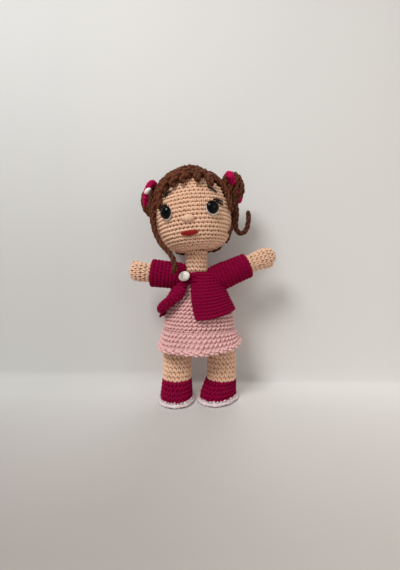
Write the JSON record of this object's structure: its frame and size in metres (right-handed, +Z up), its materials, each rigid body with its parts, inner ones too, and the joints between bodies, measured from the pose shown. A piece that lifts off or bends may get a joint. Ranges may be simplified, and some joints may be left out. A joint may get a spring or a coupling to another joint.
{
  "type": "amigurumi doll",
  "caption": "Stuffed crocheted doll with hair buns, a pink dress, an open jacket and boots; its head, arms and legs move on sewn joints.",
  "frame": {"origin": "centre of the doll's box without its two free hair strands, on the plane of the boot soles", "axes": "+Z up along the standing doll, -Y the way its face looks, +X the doll's left"},
  "size_m": [0.1513, 0.0791, 0.2361],
  "materials": {
    "skin_yarn": "crocheted cotton, single crochet",
    "pink_yarn": "crocheted cotton, single crochet",
    "magenta_yarn": "crocheted yarn with a light fuzz",
    "hair_yarn": "crocheted cotton cords",
    "white_yarn": "crocheted cotton edging",
    "red_yarn": "satin stitch",
    "black_thread": "single thread",
    "white_felt": "felt",
    "polyester_filling": "loose fibre, packed firmly",
    "eye_plastic": "polished safety eye",
    "washer_plastic": "moulded washer",
    "pearl": "pearl lustre"
  },
  "bodies": {
    "torso": {"torso_cover": "pink_yarn", "torso_filling": "polyester_filling", "skirt": "pink_yarn", "skirt_edging": "pink_yarn", "jacket_body": "magenta_yarn", "pearl_button": "pearl", "button_loop": "magenta_yarn"},
    "neck": {"neck_cover": "skin_yarn", "neck_filling": "polyester_filling"},
    "head": {"head_cover": "skin_yarn", "head_filling": "polyester_filling", "wig_cap": "hair_yarn", "fringe_curl_1": "hair_yarn", "fringe_curl_2": "hair_yarn", "fringe_curl_3": "hair_yarn", "fringe_curl_4": "hair_yarn", "fringe_curl_5": "hair_yarn", "right_side_strand": "hair_yarn", "left_side_strand": "hair_yarn", "left_thin_strand": "hair_yarn", "long_strand": "hair_yarn", "curled_strand": "hair_yarn", "right_bun": "hair_yarn", "left_bun": "hair_yarn", "right_hair_tie": "magenta_yarn", "left_hair_tie": "magenta_yarn", "hair_bead": "pearl", "right_eye": "eye_plastic", "left_eye": "eye_plastic", "right_eye_white": "white_felt", "left_eye_white": "white_felt", "right_eye_washer": "washer_plastic", "left_eye_washer": "washer_plastic", "right_lashes": "black_thread", "left_lashes": "black_thread", "right_brow": "black_thread", "left_brow": "black_thread", "nose": "skin_yarn", "mouth": "red_yarn"},
    "right_arm": {"right_arm_cover": "skin_yarn", "right_arm_filling": "polyester_filling", "right_shoulder_yarn": "skin_yarn", "right_sleeve": "magenta_yarn"},
    "left_arm": {"left_arm_cover": "skin_yarn", "left_arm_filling": "polyester_filling", "left_shoulder_yarn": "skin_yarn", "left_sleeve": "magenta_yarn"},
    "right_leg": {"right_leg_cover": "skin_yarn", "right_leg_filling": "polyester_filling", "right_boot_upper": "magenta_yarn", "right_boot_trim": "white_yarn", "right_boot_sole": "magenta_yarn"},
    "left_leg": {"left_leg_cover": "skin_yarn", "left_leg_filling": "polyester_filling", "left_boot_upper": "magenta_yarn", "left_boot_trim": "white_yarn", "left_boot_sole": "magenta_yarn"}
  },
  "joints": [
    {"name": "neck_nod", "type": "hinge", "parent": "torso", "child": "neck", "pos_m": [-0.00768, -0.00091, 0.124], "axis": [1, 0, 0], "range_deg": [-12, 12], "stiffness_Nm_per_rad": 0.6},
    {"name": "head_turn", "type": "hinge", "parent": "neck", "child": "head", "pos_m": [-0.00768, -0.00091, 0.15], "axis": [-0.0872, 0, 0.9962], "range_deg": [-20, 20], "stiffness_Nm_per_rad": 0.3},
    {"name": "right_arm_raise", "type": "hinge", "parent": "torso", "child": "right_arm", "pos_m": [-0.03028, -0.00091, 0.125], "axis": [0, 1, 0], "range_deg": [-16, 40], "stiffness_Nm_per_rad": 0.15},
    {"name": "left_arm_raise", "type": "hinge", "parent": "torso", "child": "left_arm", "pos_m": [0.02072, -0.00091, 0.125], "axis": [0, -1, 0], "range_deg": [-32, 24], "stiffness_Nm_per_rad": 0.15},
    {"name": "right_hip_swing", "type": "hinge", "parent": "torso", "child": "right_leg", "pos_m": [-0.02578, -0.00091, 0.062], "axis": [-1, 0, 0], "range_deg": [-18, 28], "stiffness_Nm_per_rad": 0.8},
    {"name": "left_hip_swing", "type": "hinge", "parent": "torso", "child": "left_leg", "pos_m": [0.01622, -0.00091, 0.062], "axis": [-1, 0, 0], "range_deg": [-18, 28], "stiffness_Nm_per_rad": 0.8}
  ]
}
